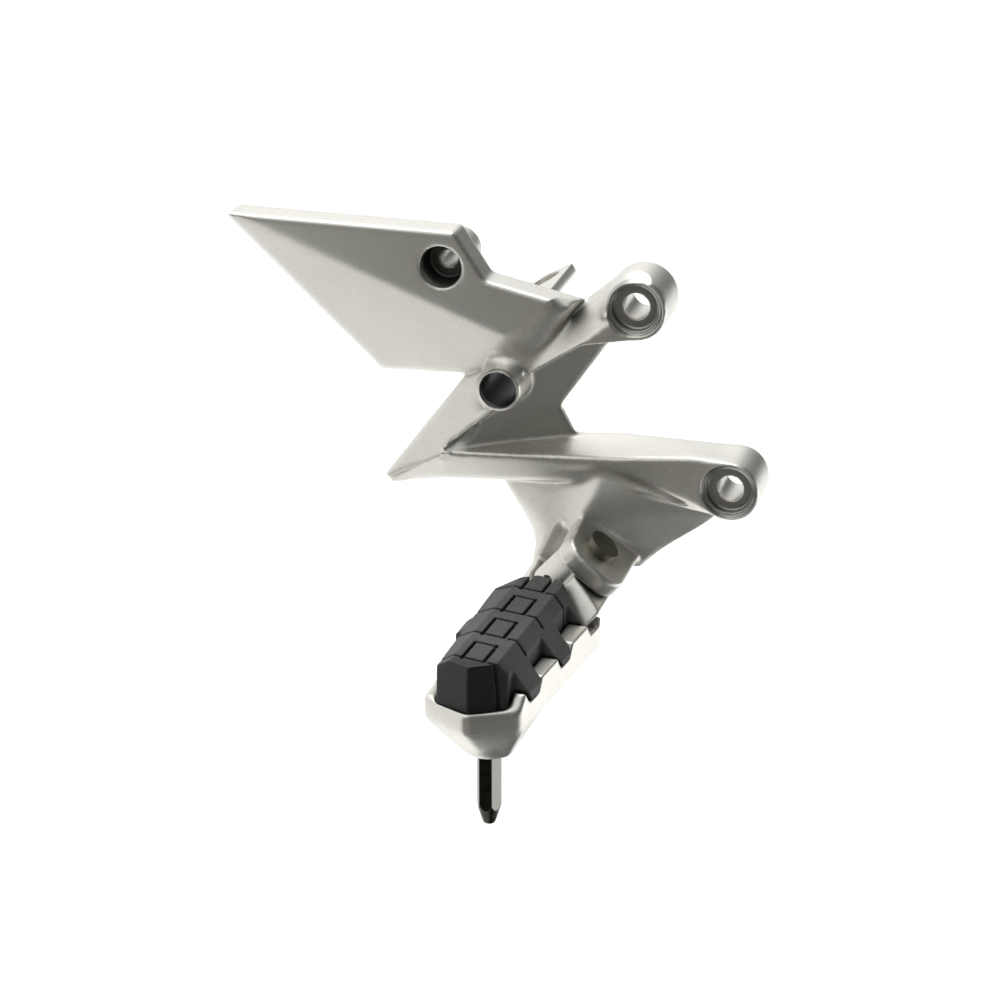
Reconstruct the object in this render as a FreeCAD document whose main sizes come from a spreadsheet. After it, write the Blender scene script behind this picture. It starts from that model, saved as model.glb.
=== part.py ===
"""Right-hand rider step of a motorcycle: a cast bracket with a heel guard and a folding peg.

Frame: +X forward, +Y inboard, +Z up, in millimetres. The origin is on the axis of the upper
frame bolt, on the inboard mounting face, so the outboard side of the step has negative Y.
"""
import FreeCAD, Part
import os

import Sketcher
from FreeCAD import Vector

doc = FreeCAD.newDocument("rider_step")
sheet = doc.addObject("Spreadsheet::Sheet", "Sizes")

# Driving dimensions: alias, value, what it is.
SIZES = [
    ("boss_depth", 23, "boss length from the mounting face to the outboard face"),
    ("upper_boss_radius", 13, "upper frame-bolt boss"),
    ("lower_boss_radius", 12.2, "lower frame-bolt boss"),
    ("lower_boss_x", 39.2, "lower frame-bolt axis"),
    ("lower_boss_z", -71.7, "lower frame-bolt axis"),
    ("bolt_bore_radius", 5.25, "clearance bore for an M10 frame bolt"),
    ("seat_radius", 9.2, "floor of the bolt seat"),
    ("seat_depth", 4.5, "bolt seat below the boss face"),
    ("seat_rim_radius", 11, "wider mouth of the bolt seat"),
    ("seat_rim_depth", 1.8, "mouth of the bolt seat below the boss face"),
    ("heel_front", -26, "outboard face of the heel guard"),
    ("heel_rear", -12, "inboard edge of the heel guard flange"),
    ("heel_wall", 3.6, "wall of the heel guard"),
    ("heel_top", 25.6, "level top edge of the heel guard"),
    ("heel_tip_x", -165, "rear tip of the heel guard"),
    ("heel_tip_low", 23.6, "lower end of the blunt tip"),
    ("heel_corner_x", -71.5, "forward end of the level top edge"),
    ("heel_notch_x", -59.2, "foot of the slope in the top edge"),
    ("heel_notch_z", 7.2, "foot of the slope in the top edge"),
    ("heel_join_x", -22, "forward end of the guard, under the arm"),
    ("heel_join_z", -0.5, "forward end of the guard, under the arm"),
    ("heel_heel_x", -106, "lowest corner of the guard"),
    ("heel_heel_z", -39.2, "lowest corner of the guard"),
    ("heel_root_x", -62, "forward end of the guard's bottom edge"),
    ("heel_root_z", -34.5, "forward end of the guard's bottom edge"),
    ("crease_x", -41.7, "forward end of the crease across the guard"),
    ("crease_z", -17.4, "forward end of the crease across the guard"),
    ("crease_angle", 19.8, "fall of the crease towards the front"),
    ("crease_slope", 17.5, "lower facet turned away from the upper one"),
    ("guard_hole_x", -76.9, "bolt recess in the guard"),
    ("guard_hole_z", 11, "bolt recess in the guard"),
    ("guard_hole_radius", 8.3, "bolt recess in the guard"),
    ("guard_hole_depth", 12, "bolt recess in the guard"),
    ("guard_bolt_radius", 3.5, "bolt bore behind the recess"),
    ("guard_boss_wall", 2.2, "wall of the boss round the recess"),
    ("guard_boss_tip_radius", 9, "inboard end of that boss"),
    ("cylinder_face", 2.5, "inboard face shared by the guard boss and the tube"),
    ("tube_x", -51.5, "axis of the bolt tube"),
    ("tube_z", -34.9, "axis of the bolt tube"),
    ("tube_front", -33, "outboard rim of the bolt tube"),
    ("tube_radius", 9, "outside of the bolt tube"),
    ("tube_bore_radius", 7.5, "bore of the bolt tube"),
    ("arm_yaw", 8.5, "arm face turned outboard towards the tube"),
    ("arm_rear", -5, "inboard side of the arm"),
    ("arm_knee_x", -20, "bend in the lower edge of the arm"),
    ("arm_knee_z", -16, "bend in the lower edge of the arm"),
    ("arm_end_x", -45, "middle of the arm's narrow end"),
    ("arm_end_z", -27.5, "middle of the arm's narrow end"),
    ("arm_end_width", 6, "arm's narrow end"),
    ("arm_angle", 139, "direction of the arm's upper edge"),
    ("arm_side", 2.6, "sloped upper side of the arm, across the arm"),
    ("arm_slope", 50, "slope of that side"),
    ("web_x", -26.5, "forward foot of the strut web"),
    ("web_y", -8, "forward foot of the strut web"),
    ("web_z", -58.4, "forward foot of the strut web"),
    ("web_yaw", 24.6, "strut web turned to face forward"),
    ("web_wall", 9, "thickness of the strut web"),
    ("web_notch", 5.5, "notch in the web's forward edge"),
    ("web_sink", 4.5, "web inside the beam and the arm"),
    ("rib_front", -31, "outboard face of the rear rib"),
    ("rib_rear", -15, "inboard side of the rear rib"),
    ("rib_top_x", -54.5, "upper end of the rib's ridge"),
    ("rib_top_z", -45.3, "upper end of the rib's ridge"),
    ("rib_angle", 135.8, "direction of the ridge"),
    ("rib_slope", 38, "rear facet of the rib"),
    ("rib_tip_x", -101.5, "rear tip of the lower beam"),
    ("rib_tip_z", -79.5, "rear tip of the lower beam"),
    ("rib_tip_run", 3.5, "blunt underside of that tip"),
    ("rib_tip_drop", 2.5, "blunt underside of that tip"),
    ("rib_edge_x", -67, "upper end of the rib's rear edge"),
    ("rib_edge_z", -32, "upper end of the rib's rear edge"),
    ("foot_slope", 18, "lower face of the foot turned under"),
    ("foot_angle", 3, "top edge of that face, falling to the rear"),
    ("beam_rear_x", -76, "rear section of the beam"),
    ("beam_mid_x", -9, "section where the beam is slimmest"),
    ("beam_front_x", 24, "section beside the lower boss"),
    ("beam_ridge_rear_z", -64.3, "ridge of the beam at the rear"),
    ("beam_ridge_mid_z", -62.3, "ridge of the beam in the middle"),
    ("beam_ridge_front_z", -58.8, "ridge of the beam at the boss"),
    ("beam_top", -59.8, "top edge along the mounting face"),
    ("beam_lip_rear_z", -77.5, "lower lip of the beam at the rear"),
    ("beam_lip_mid_z", -73.1, "lower lip of the beam in the middle"),
    ("beam_lip_front_z", -82, "lower lip of the beam at the boss"),
    ("lip_inset", 1.5, "lower lip of the beam behind its ridge"),
    ("beam_under", -84, "underside of the beam along the mounting face"),
    ("beam_swell", 1, "front of the beam in the middle, outboard of the boss fronts"),
    ("beam_inset", 0.3, "front of the beam at the boss, behind the boss front"),
    ("pad_start_x", -10, "pointed start of the pad beside the lower boss"),
    ("pad_start_z", -64.8, "pointed start of the pad beside the lower boss"),
    ("pad_wall", 8, "depth of that pad"),
    ("pad_end_angle", 53, "lower end of that pad, round the boss"),
    ("groove_yaw", 6.5, "floor of the cove turned in towards the boss"),
    ("groove_start_x", -50, "pointed start of the cove"),
    ("groove_start_z", -71.5, "pointed start of the cove"),
    ("groove_start_y", -26.8, "pointed start of the cove"),
    ("cove_margin", 1.3, "cove from the pad and the lip"),
    ("cove_overrun", 1.7, "cove carried on inside the boss"),
    ("hinge_x", -19.8, "middle of the hinge"),
    ("hinge_y", -40, "middle of the hinge"),
    ("hinge_z", -108.1, "middle of the hinge"),
    ("hinge_tilt", 41, "hinge axis leaned forward from upright"),
    ("ear_radius", 13, "rounded ends of the clevis ears"),
    ("ear_wall", 8.5, "thickness of each clevis ear"),
    ("ear_reach", 15.5, "upper ear outboard of the hinge axis"),
    ("ear_half", 14, "half width of the upper ear"),
    ("ear_shift", 1.5, "middle of the upper ear ahead of the hinge axis"),
    ("ear_corner", 9, "rounded corners of the upper ear"),
    ("clevis_back", 24, "clevis block inboard of the hinge axis"),
    ("tongue_width", 18.6, "knuckle of the peg along the hinge axis"),
    ("tongue_gap", 0.45, "gap between the knuckle and each ear"),
    ("knuckle_radius", 11.4, "knuckle of the peg"),
    ("knuckle_gap", 1, "gap between the knuckle and the clevis back"),
    ("stop_gap", 0.3, "gap at the knuckle's stop face"),
    ("stop_start", 3, "stop face from the hinge axis"),
    ("pin_radius", 4, "hinge pin"),
    ("pin_clearance", 0.05, "running fit of the hinge pin"),
    ("pin_head_radius", 6.6, "head of the hinge pin"),
    ("pin_head_height", 3.4, "head of the hinge pin"),
    ("pin_tail", 6.4, "hinge pin beyond the lower ear"),
    ("washer_wall", 1.6, "hinge washer"),
    ("washer_radius", 8, "hinge washer"),
    ("washer_clearance", 0.2, "hinge washer on its pin"),
    ("cotter_radius", 1, "split pin"),
    ("cotter_length", 16, "split pin"),
    ("cotter_eye_radius", 2.2, "eye of the split pin"),
    ("cotter_clearance", 0.1, "split pin in its hole and under the washer"),
    ("neck_rear", 1, "neck of the peg behind the hinge axis"),
    ("neck_front", 15.5, "neck of the peg ahead of the hinge axis"),
    ("neck_reach", 27, "neck of the peg outboard of the hinge axis"),
    ("neck_fall", 56, "top of the neck, down towards the tray"),
    ("fan_top_z", -70, "fan web inside the beam, height"),
    ("fan_top_rear", -58, "fan web inside the beam, rear edge"),
    ("fan_top_rear_y", -13, "fan web inside the beam, depth of the rear edge"),
    ("fan_top_ridge", -12.6, "fan web inside the beam, ridge"),
    ("fan_top_ridge_y", -22.5, "fan web inside the beam, depth of the ridge"),
    ("fan_top_front", 34, "fan web inside the beam, forward edge"),
    ("fan_top_front_y", -9, "fan web inside the beam, depth of the forward edge"),
    ("fan_top_back_y", -4, "fan web inside the beam, inboard side"),
    ("fan_waist_z", -87, "fan web below the beam, height"),
    ("fan_waist_rear", -50.5, "fan web below the beam, rear edge"),
    ("fan_waist_rear_y", -15, "fan web below the beam, depth of the rear edge"),
    ("fan_waist_ridge", -19.5, "fan web below the beam, ridge"),
    ("fan_waist_ridge_y", -31, "fan web below the beam, depth of the ridge"),
    ("fan_waist_front", 32.5, "fan web below the beam, forward edge"),
    ("fan_waist_front_y", -11, "fan web below the beam, depth of the forward edge"),
    ("fan_waist_back_y", -5, "fan web below the beam, inboard side"),
    ("fan_neck_z", -97, "fan web above the clevis, height"),
    ("fan_neck_rear", -42, "fan web above the clevis, rear edge"),
    ("fan_neck_rear_y", -19, "fan web above the clevis, depth of the rear edge"),
    ("fan_neck_ridge", -27.5, "fan web above the clevis, ridge"),
    ("fan_neck_ridge_y", -32, "fan web above the clevis, depth of the ridge"),
    ("fan_neck_front", 19.5, "fan web above the clevis, forward edge"),
    ("fan_neck_front_y", -14, "fan web above the clevis, depth of the forward edge"),
    ("fan_neck_back_y", -9, "fan web above the clevis, inboard side"),
    ("fan_foot_z", -109, "fan web beside the clevis, height"),
    ("fan_foot_rear", -40, "fan web beside the clevis, rear edge"),
    ("fan_foot_rear_y", -24, "fan web beside the clevis, depth of the rear edge"),
    ("fan_foot_ridge", -37, "fan web beside the clevis, ridge"),
    ("fan_foot_ridge_y", -31, "fan web beside the clevis, depth of the ridge"),
    ("fan_foot_front", 4.5, "fan web beside the clevis, forward edge"),
    ("fan_foot_front_y", -21, "fan web beside the clevis, depth of the forward edge"),
    ("fan_foot_back_y", -15, "fan web beside the clevis, inboard side"),
    ("tab_x", -36.5, "forward top edge of the switch tab"),
    ("tab_z", 1.5, "forward top edge of the switch tab"),
    ("tab_tilt", 30, "switch tab leaned back from level"),
    ("tab_wall", 5, "switch tab"),
    ("tab_width", 22, "switch tab"),
    ("tab_root", -16, "outboard end of the switch tab"),
    ("tab_end", 24, "inboard end of the switch tab"),
    ("tab_hole_margin", 10, "middle of the switch hole from the end of its tab"),
    ("tab_hole_radius", 7, "switch hole"),
    ("peg_sweep", 4, "peg turned to the rear"),
    ("peg_offset", -4.6, "middle of the tray from the hinge, across the peg"),
    ("peg_rim", -10.4, "rim of the tray from the hinge"),
    ("peg_root", 13.8, "inboard end of the tray from the hinge, clear of the ears"),
    ("peg_far", 24, "rear inboard corner of the tray from the hinge"),
    ("peg_prow", 10.5, "nose of the tray beyond its corners"),
    ("peg_flare", 1.9, "rear corner of the nose further out than the front one"),
    ("peg_nose", 106.5, "nose of the tray from the hinge"),
    ("peg_far_half", 22.5, "half width of the tray at its inboard end"),
    ("peg_near_half", 18.6, "half width of the tray at its nose corners"),
    ("peg_wall_height", 9.6, "side of the tray below the rim"),
    ("peg_floor", 4.4, "floor of the tray"),
    ("tray_rib_offset", 9.5, "ribs under the tray from its middle"),
    ("tray_rib_wall", 3, "thickness of those ribs"),
    ("tray_rib_drop", 5, "ribs below the tray"),
    ("peg_tooth", 4.5, "teeth above the rim"),
    ("notch_first", 20.5, "first notch along the tray"),
    ("notch_pitch", 31, "notches along the tray"),
    ("notch_mouth", 15, "mouth of a notch along the tray"),
    ("notch_floor", 9, "floor of a notch along the tray"),
    ("notch_depth", 0.6, "notch below the rim"),
    ("tooth_rear_end", 66, "rear teeth along the tray, from the hinge"),
    ("keel_half", 9.5, "half width of the keel's foot"),
    ("keel_prow", 3, "prow of the keel's foot"),
    ("keel_run", 14, "keel drawn out inboard under the tray"),
    ("keel_z", -31, "foot of the keel from the hinge"),
    ("keel_front_inset", 7.5, "outboard end of the keel's foot from the nose"),
    ("keel_back_inset", 28.5, "inboard end of the keel's foot from the nose"),
    ("feeler_x", -1, "feeler across the peg, from the hinge"),
    ("feeler_inset", 16.5, "feeler inboard of the nose"),
    ("feeler_collar_radius", 10.2, "collar round the feeler"),
    ("feeler_collar_drop", 1, "collar below the keel's foot"),
    ("feeler_collar_height", 5, "collar round the feeler"),
    ("feeler_flats", 8.6, "feeler across its flats"),
    ("feeler_length", 31, "feeler below the collar"),
    ("feeler_tip_length", 9, "tapered tip of the feeler"),
    ("feeler_tip_radius", 2.4, "end of the feeler"),
    ("feeler_stud_radius", 4, "stud of the feeler"),
    ("feeler_stud_length", 14, "stud of the feeler"),
    ("tread_top", 7, "crown of the tread from the hinge"),
    ("tread_crown_half", 8.8, "half width of the crown"),
    ("tread_front", 12.8, "front side of the tread from the middle of the tray"),
    ("tread_front_shoulder", 2, "foot of the front slope from the hinge"),
    ("tread_rear_far", 18.9, "rear side of the tread at its inboard end, from the middle of the tray"),
    ("tread_rear_near", 14, "rear side of the tread at the nose, from the middle of the tray"),
    ("tread_rear_shoulder", 3.2, "foot of the rear slope from the hinge"),
    ("tread_gap", 0.3, "tread inside the tray"),
    ("tread_lug", 0.2, "lugs of the tread inside the tray's side"),
    ("tread_lug_gap", 0.7, "lugs of the tread inside their notches"),
    ("tread_lug_run", 4.5, "sloped top of a lug, across the peg"),
    ("tread_lug_fall", 1.85, "steepness of a lug's outer face"),
    ("tread_lug_top", -4, "top of the lugs from the hinge"),
    ("tread_root", 14.2, "inboard point of the tread from the hinge"),
    ("tread_root_yaw", 34, "inboard end of the tread, each half"),
    ("tread_nose_inset", 3.1, "nose point of the tread from the nose of the tray"),
    ("tread_nose_lean", 4, "nose end of the tread leaned back"),
    ("tread_front_yaw", 34, "front half of the nose end"),
    ("tread_rear_yaw", 20, "rear half of the nose end"),
    ("tread_groove_width", 1.2, "grooves of the tread"),
    ("tread_groove_depth", 1.8, "grooves of the tread"),
    ("tread_first", 29.8, "first groove along the tread"),
    ("tread_pitch", 21.7, "grooves along the tread"),
    ("tread_block_length", 14, "blocks along the tread"),
    ("tread_block_width", 10, "blocks across the tread"),
    ("tread_block_offset", 0.8, "blocks to the rear of the tread's middle"),
    ("tread_skew", 8, "grooves turned from square across the tread"),
    ("plate_wall", 2.5, "steel plate under the tread"),
    ("plate_margin", 4, "tread beyond its steel plate"),
    ("pad_bolt_radius", 3, "pad bolts"),
    ("pad_bolt_clearance", 0.3, "pad bolts in the tray floor and their washers"),
    ("pad_bolt_head_radius", 5, "heads of the pad bolts"),
    ("pad_bolt_head_height", 4, "heads of the pad bolts"),
    ("pad_washer_radius", 6.5, "washers of the pad bolts"),
    ("pad_washer_wall", 1.2, "washers of the pad bolts"),
    ("pad_bolt_inner_y", 36, "inner pad bolt along the peg"),
    ("pad_bolt_outer_y", 55, "outer pad bolt along the peg"),
]

for row, (alias, amount, meaning) in enumerate(SIZES, 1):
    sheet.set(f"A{row}", meaning)
    sheet.set(f"B{row}", str(amount))
    sheet.setAlias(f"B{row}", alias)
doc.recompute()

ALIASES = sorted((alias for alias, _, _ in SIZES), key=len, reverse=True)
CUTTER_SPAN = 600.0
LEVEL = "rotation(vector(0; 0; 1); 0)"
FACING_OUT = "rotation(vector(1; 0; 0); 90)"
FACING_FORWARD = "rotation(vector(1; 1; 1); 120)"


def bind(expression):
    """Expression with the sheet's name put before each alias."""
    words = []
    word = ""
    for letter in str(expression) + " ":
        if letter.isalnum() or letter == "_":
            word += letter
            continue
        words.append(f"Sizes.{word}" if word in ALIASES else word)
        words.append(letter)
        word = ""
    return "".join(words).strip()


def amount_of(expression):
    """Present number of an expression of the sheet's values."""
    return float(sheet.evalExpression(bind(expression)))


def place(x, y, z, rotation=LEVEL):
    """Placement expression from three coordinates and a rotation."""
    return f"placement(vector({x}; {y}; {z}); {rotation})"


HINGE = place("hinge_x", "hinge_y", "hinge_z", "rotation(vector(0; 1; 0); hinge_tilt)")
PEG = place("hinge_x", "hinge_y", "hinge_z", "rotation(vector(0; 0; 1); -peg_sweep)")


def shift(frame, x, y, z, rotation=LEVEL):
    """Placement expression of a point inside another frame."""
    return f"{frame} * {place(x, y, z, rotation)}"


def made(kind, name, placement=None, **sizes):
    """Document object of a kind, with each size bound to the sheet."""
    feature = doc.addObject(kind, name)
    for size, expression in sizes.items():
        feature.setExpression(size, bind(expression))
    if placement:
        feature.setExpression("Placement", bind(placement))
    return feature


def cylinder(name, placement, radius, height):
    return made("Part::Cylinder", name, placement, Radius=radius, Height=height)


def box(name, placement, length, width, height):
    return made("Part::Box", name, placement, Length=length, Width=width, Height=height)


def outline(name, corners, placement):
    """Closed sketch through corners, each a pair of expressions."""
    sketch = made("Sketcher::SketchObject", name, placement)
    points = [Vector(amount_of(x), amount_of(y), 0) for x, y in corners]
    count = len(points)
    for index in range(count):
        line = Part.LineSegment(points[index], points[(index + 1) % count])
        sketch.addGeometry(line, False)
    for index in range(count):
        sketch.addConstraint(Sketcher.Constraint("Coincident", index, 2, (index + 1) % count, 1))
    for index, (x, y) in enumerate(corners):
        for kind, expression in (("DistanceX", x), ("DistanceY", y)):
            datum = Sketcher.Constraint(kind, -1, 1, index, 1, amount_of(expression))
            number = sketch.addConstraint(datum)
            sketch.setExpression(f"Constraints[{number}]", bind(expression))
    return sketch


def prism(name, corners, placement, ahead, behind="0"):
    """Outline pushed along the normal of its plane, ahead and behind."""
    solid = made("Part::Extrusion", name, LengthFwd=ahead, LengthRev=behind)
    solid.Base = outline(f"{name}_outline", corners, placement)
    solid.DirMode = "Normal"
    solid.Solid = True
    return solid


def plate(name, corners, rear, front):
    """Outline in side view, from a rear depth to an outboard depth."""
    return prism(name, corners, place("0", rear, "0", FACING_OUT), f"{rear} - ({front})")


def loft(name, sections, ruled):
    """Solid through closed sections, each corners and a placement."""
    solid = doc.addObject("Part::Loft", name)
    profiles = []
    for number, (corners, placement) in enumerate(sections, 1):
        profiles.append(outline(f"{name}_section_{number}", corners, placement))
    solid.Sections = profiles
    solid.Solid = True
    solid.Ruled = ruled
    return solid


def beyond(name, x, y, z, rotation, frame=None):
    """Block that fills everything outboard of a plane through a point."""
    half = str(CUTTER_SPAN / 2)
    corner = place(f"-{half}", f"-{CUTTER_SPAN}", f"-{half}")
    base = place(x, y, z, rotation)
    whole = f"{frame} * {base} * {corner}" if frame else f"{base} * {corner}"
    return box(name, whole, str(CUTTER_SPAN), str(CUTTER_SPAN), str(CUTTER_SPAN))


def fused(name, pieces):
    whole = doc.addObject("Part::MultiFuse", name)
    whole.Shapes = pieces
    whole.Refine = True
    return whole


def cut(name, base, tool):
    rest = doc.addObject("Part::Cut", name)
    rest.Base = base
    rest.Tool = tool
    rest.Refine = False
    return rest


def cut_all(name, base, tools):
    """Base without each tool in turn."""
    rest = base
    for number, tool in enumerate(tools, 1):
        rest = cut(f"{name}_{number}", rest, tool)
    return rest


def turn(first_axis, first_angle, second_axis, second_angle):
    """Rotation expression of two turns, the second inside the first."""
    return f"rotation(vector({first_axis}); {first_angle}) * rotation(vector({second_axis}); {second_angle})"


SIDEWAYS = "0; 1; 0"
LENGTHWAYS = "1; 0; 0"
UPRIGHT = "0; 0; 1"


def heel_guard():
    """Faceted blade, hollow at the back, with a flange along its top edge."""
    corners = [
        ("heel_tip_x", "heel_top"),
        ("heel_corner_x", "heel_top"),
        ("heel_notch_x", "heel_notch_z"),
        ("heel_join_x", "heel_join_z"),
        ("arm_end_x", "arm_end_z"),
        ("heel_root_x", "heel_root_z"),
        ("heel_heel_x", "heel_heel_z"),
        ("heel_tip_x", "heel_tip_low"),
    ]
    blank = plate("guard_blank", corners, "heel_rear", "heel_front")
    facet = beyond(
        "guard_lower_facet", "crease_x", "heel_front", "crease_z",
        turn(SIDEWAYS, "crease_angle", LENGTHWAYS, "crease_slope"),
    )
    blade = cut("guard_blade", blank, facet)
    inner = made("Part::Offset2D", "guard_inner_outline", Value="-heel_wall")
    inner.Source = blank.Base
    inner.Join = 2
    hollow = made(
        "Part::Extrusion", "guard_hollow_blank",
        LengthFwd="0", LengthRev="heel_rear - heel_front - heel_wall",
    )
    hollow.Base = inner
    hollow.DirMode = "Normal"
    hollow.Solid = True
    inner_facet = beyond(
        "guard_inner_facet", "crease_x", "heel_front + heel_wall", "crease_z",
        turn(SIDEWAYS, "crease_angle", LENGTHWAYS, "crease_slope"),
    )
    return cut("guard_shell", blade, cut("guard_hollow", hollow, inner_facet))


def guard_boss():
    """Boss behind the recess in the guard, tapered to its inboard face."""
    reach = "cylinder_face - heel_front"
    solid = made(
        "Part::Cone", "guard_boss",
        place("guard_hole_x", "heel_front", "guard_hole_z", "rotation(vector(1; 0; 0); -90)"),
        Radius1="guard_hole_radius + guard_boss_wall", Radius2="guard_boss_tip_radius", Height=reach,
    )
    return cut("guard_boss_trimmed", solid, beyond(
        "guard_boss_face", "crease_x", "heel_front", "crease_z",
        turn(SIDEWAYS, "crease_angle", LENGTHWAYS, "crease_slope"),
    ))


def upper_arm():
    """Teardrop from the upper boss down to the bolt tube, with sloped sides."""
    half = "arm_end_width / 2"
    corners = [
        ("-upper_boss_radius * cos(45)", "upper_boss_radius * cos(45)"),
        (f"arm_end_x - {half}", f"arm_end_z + {half}"),
        (f"arm_end_x + {half}", f"arm_end_z - {half}"),
        ("arm_knee_x", "arm_knee_z"),
        ("0", "-upper_boss_radius"),
    ]
    blank = plate("arm_blank", corners, "arm_rear", "tube_front")
    front = place("0", "-boss_depth", "0", f"rotation(vector({UPRIGHT}); arm_yaw)")
    face = beyond("arm_face", "0", "0", "0", LEVEL, front)
    edge = "(upper_boss_radius - arm_side)"
    side = beyond(
        "arm_upper_side", f"{edge} * cos(90 - arm_angle)", "0", f"{edge} * -cos(arm_angle)",
        turn(SIDEWAYS, "arm_angle", LENGTHWAYS, "arm_slope"), front,
    )
    return cut_all("arm", blank, [face, side])


def boss(name, x, z, radius):
    return cylinder(name, place(x, "0", z, FACING_OUT), radius, "boss_depth")


def strut_web():
    """Plate between the guard and the beam, turned to face forward."""
    stretch = "/ cos(web_yaw)"
    corners = [
        (f"(arm_end_x - web_x) {stretch}", "arm_end_z - web_z"),
        (f"(rib_top_x - web_x) {stretch}", "rib_top_z - web_z"),
        (f"(beam_rear_x - web_x) {stretch}", "beam_ridge_rear_z - web_z - web_sink"),
        ("0", "beam_top - web_z - web_sink"),
        ("0", "0"),
        ("-web_notch", "2 * web_notch"),
        (f"(-web_x - upper_boss_radius) {stretch}", "arm_knee_z - web_z - web_sink"),
        (f"(arm_knee_x - web_x) {stretch}", "-web_z - web_sink"),
    ]
    frame = place("web_x", "web_y", "web_z", turn(UPRIGHT, "web_yaw", LENGTHWAYS, "90"))
    return prism("strut_web", corners, frame, "0", "web_wall")


def rear_rib():
    """Ridge from the tube down to the rear tip, with a facet on each side."""
    corners = [
        ("rib_edge_x", "rib_edge_z"),
        ("rib_tip_x", "rib_tip_z"),
        ("rib_tip_x + rib_tip_run", "rib_tip_z - rib_tip_drop"),
        ("beam_rear_x", "beam_lip_rear_z"),
        ("beam_rear_x", "beam_ridge_rear_z"),
        ("rib_top_x", "rib_top_z"),
        ("tube_x", "tube_z"),
    ]
    blank = plate("rib_blank", corners, "rib_rear", "rib_front")
    rear_facet = beyond(
        "rib_rear_facet", "rib_top_x", "rib_front", "rib_top_z",
        turn(SIDEWAYS, "rib_angle", LENGTHWAYS, "rib_slope"),
    )
    foot_facet = beyond(
        "rib_foot_facet", "beam_rear_x", "rib_front", "beam_ridge_rear_z",
        turn(SIDEWAYS, "foot_angle", LENGTHWAYS, "foot_slope"),
    )
    return cut_all("rib", blank, [rear_facet, foot_facet])


FOOT_INSET = "((beam_ridge_rear_z - beam_lip_rear_z) * tan(foot_slope))"


def lower_beam():
    """Tapered beam from the rear tip to the lower boss, with a cove under its ridge."""
    sections = [
        ("beam_rear_x", "rib_front", "beam_ridge_rear_z", "beam_lip_rear_z", FOOT_INSET, "rib_rear"),
        ("beam_mid_x", "-boss_depth - beam_swell", "beam_ridge_mid_z", "beam_lip_mid_z", "lip_inset", "0"),
        (
            "beam_front_x", "beam_inset - boss_depth", "beam_ridge_front_z",
            "beam_lip_front_z", "lip_inset", "0",
        ),
        (
            "lower_boss_x", "beam_inset - boss_depth", "lower_boss_z + lower_boss_radius - beam_inset",
            "lower_boss_z - lower_boss_radius + beam_inset", "lip_inset", "0",
        ),
    ]
    profiles = []
    for x, front, ridge, lip, inset, rear in sections:
        top = ridge if x == "lower_boss_x" else "beam_top"
        under = lip if x in ("beam_rear_x", "lower_boss_x") else "beam_under"
        corners = [(front, ridge), (rear, top), (rear, under), (f"{front} + {inset}", lip)]
        profiles.append((corners, place(x, "0", "0", FACING_FORWARD)))
    return loft("lower_beam", profiles, True)


def beam_cove():
    """Cove between the pad's lower edge and the beam's lip, deeper towards the boss."""
    end = "(lower_boss_radius + cove_overrun)"
    points = [
        ("groove_start_x", "groove_start_z"),
        ("pad_start_x", "pad_start_z - cove_margin"),
        (f"lower_boss_x - {end} * cos(pad_end_angle)", f"lower_boss_z - {end} * sin(pad_end_angle)"),
        ("beam_front_x", "beam_lip_front_z + cove_margin"),
        ("beam_mid_x", "beam_lip_mid_z + cove_margin"),
    ]
    corners = [(f"({x} - groove_start_x) / cos(groove_yaw)", z) for x, z in points]
    frame = place("groove_start_x", "groove_start_y", "0", turn(UPRIGHT, "groove_yaw", LENGTHWAYS, "90"))
    return prism("beam_cove", corners, frame, "boss_depth")


def lower_pad():
    """Flat face that widens from the beam's ridge to the lower boss."""
    corners = [
        ("pad_start_x", "pad_start_z"),
        ("pad_start_x", "beam_ridge_mid_z"),
        ("beam_front_x", "beam_ridge_front_z"),
        ("lower_boss_x", "lower_boss_z + lower_boss_radius"),
        ("lower_boss_x", "lower_boss_z"),
        (
            "lower_boss_x - lower_boss_radius * cos(pad_end_angle)",
            "lower_boss_z - lower_boss_radius * sin(pad_end_angle)",
        ),
    ]
    return plate("lower_pad", corners, "-boss_depth + pad_wall", "-boss_depth")


def fan_web():
    """Ridged web that narrows from the beam down to the clevis."""
    sections = []
    for level in ("top", "waist", "neck", "foot"):
        at = f"fan_{level}"
        corners = [
            (f"{at}_rear", f"{at}_rear_y"), (f"{at}_ridge", f"{at}_ridge_y"),
            (f"{at}_front", f"{at}_front_y"),
            (f"{at}_front", f"{at}_back_y"), (f"{at}_rear", f"{at}_back_y"),
        ]
        sections.append((corners, place("0", "0", f"{at}_z")))
    return loft("fan_web", sections, False)


GRIP = "(tongue_width / 2 + tongue_gap + ear_wall)"


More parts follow.
